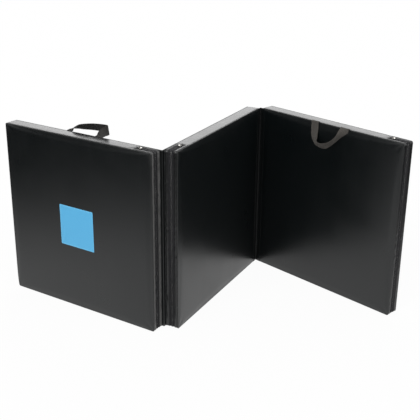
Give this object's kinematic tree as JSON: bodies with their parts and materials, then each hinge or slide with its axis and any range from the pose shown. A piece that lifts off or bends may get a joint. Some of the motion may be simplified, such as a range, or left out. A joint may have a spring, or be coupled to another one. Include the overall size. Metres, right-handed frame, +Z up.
{
  "type": "folding gymnastics mat",
  "caption": "Vinyl-covered foam exercise mat in square panels, hinged to fold in a zigzag, with zips in its cover and webbing carry handles.",
  "frame": {"origin": "centre of the box round the panels in plan, on the floor that the mat stands on", "axes": "+X along the zigzag from the left panel to the right one, +Y from the front to the back, +Z up"},
  "size_m": [1.3093, 0.5812, 0.6318],
  "materials": {
    "cover_vinyl": "satin",
    "boxing_vinyl": "satin",
    "hinge_vinyl": "satin",
    "polyethylene_foam": "matte",
    "zip_tape": "matte",
    "zip_nylon": "satin",
    "slider_nickel": "satin",
    "pull_enamel": "satin",
    "handle_webbing": "matte",
    "patch_vinyl": "satin"
  },
  "bodies": {
    "middle_panel": {"middle_foam_core": "polyethylene_foam", "middle_front_sheet": "cover_vinyl", "middle_back_sheet": "cover_vinyl", "middle_boxing": "boxing_vinyl", "middle_zip_tape_front": "zip_tape", "middle_zip_tape_back": "zip_tape", "middle_zip_chain": "zip_nylon", "left_hinge_welt": "hinge_vinyl", "right_hinge_welt": "hinge_vinyl"},
    "left_panel": {"left_foam_core": "polyethylene_foam", "left_front_sheet": "cover_vinyl", "left_back_sheet": "cover_vinyl", "left_boxing": "boxing_vinyl", "left_zip_tape_front": "zip_tape", "left_zip_tape_back": "zip_tape", "left_zip_chain": "zip_nylon", "left_hinge_flap": "hinge_vinyl", "left_handle_near_foot": "handle_webbing", "left_handle_far_foot": "handle_webbing", "blue_patch": "patch_vinyl"},
    "right_panel": {"right_foam_core": "polyethylene_foam", "right_front_sheet": "cover_vinyl", "right_back_sheet": "cover_vinyl", "right_boxing": "boxing_vinyl", "right_zip_tape_front": "zip_tape", "right_zip_tape_back": "zip_tape", "right_zip_chain": "zip_nylon", "right_hinge_flap": "hinge_vinyl", "right_handle_near_foot": "handle_webbing", "right_handle_far_foot": "handle_webbing"},
    "left_handle_loop": {"left_handle": "handle_webbing"},
    "right_handle_loop": {"right_handle": "handle_webbing"},
    "left_slider": {"left_zip_slider": "slider_nickel"},
    "left_pull": {"left_zip_pull": "pull_enamel"},
    "middle_slider": {"middle_zip_slider": "slider_nickel"},
    "middle_pull": {"middle_zip_pull": "pull_enamel"},
    "right_slider": {"right_zip_slider": "slider_nickel"},
    "right_pull": {"right_zip_pull": "pull_enamel"}
  },
  "joints": [
    {"name": "left_fold", "type": "hinge", "parent": "middle_panel", "child": "left_panel", "pos_m": [-0.12511, -0.24992, 0], "axis": [0, 0, -1], "range_deg": [-95.6, 84.4]},
    {"name": "right_fold", "type": "hinge", "parent": "middle_panel", "child": "right_panel", "pos_m": [0.20613, 0.25825, 0], "axis": [0, 0, -1], "range_deg": [-109, 71]},
    {"name": "left_handle_swing", "type": "hinge", "parent": "left_panel", "child": "left_handle_loop", "pos_m": [-0.37822, -0.08518, 0.6018], "axis": [0.8348, -0.5505, 0], "range_deg": [-85, 85]},
    {"name": "right_handle_swing", "type": "hinge", "parent": "right_panel", "child": "right_handle_loop", "pos_m": [0.41417, 0.03933, 0.6018], "axis": [-0.6845, 0.729, 0], "range_deg": [0, 260]},
    {"name": "left_zip_run", "type": "slide", "parent": "left_panel", "child": "left_slider", "axis": [0.8348, -0.5505, 0], "range_m": [-0.004, 0.044]},
    {"name": "left_pull_lift", "type": "hinge", "parent": "left_slider", "child": "left_pull", "pos_m": [-0.19061, -0.24027, 0.6033], "axis": [0.5505, 0.8348, 0], "range_deg": [0, 170]},
    {"name": "middle_zip_run", "type": "slide", "parent": "middle_panel", "child": "middle_slider", "axis": [-0.4664, -0.8846, 0], "range_m": [-0.004, 0.044]},
    {"name": "middle_pull_lift", "type": "hinge", "parent": "middle_slider", "child": "middle_pull", "pos_m": [-0.07236, -0.20991, 0.6033], "axis": [0.8846, -0.4664, 0], "range_deg": [0, 170]},
    {"name": "right_zip_run", "type": "slide", "parent": "right_panel", "child": "right_slider", "axis": [0.6845, -0.729, 0], "range_m": [-0.004, 0.044]},
    {"name": "right_pull_lift", "type": "hinge", "parent": "right_slider", "child": "right_pull", "pos_m": [0.59893, -0.11915, 0.6033], "axis": [0.729, 0.6845, 0], "range_deg": [0, 170]}
  ]
}
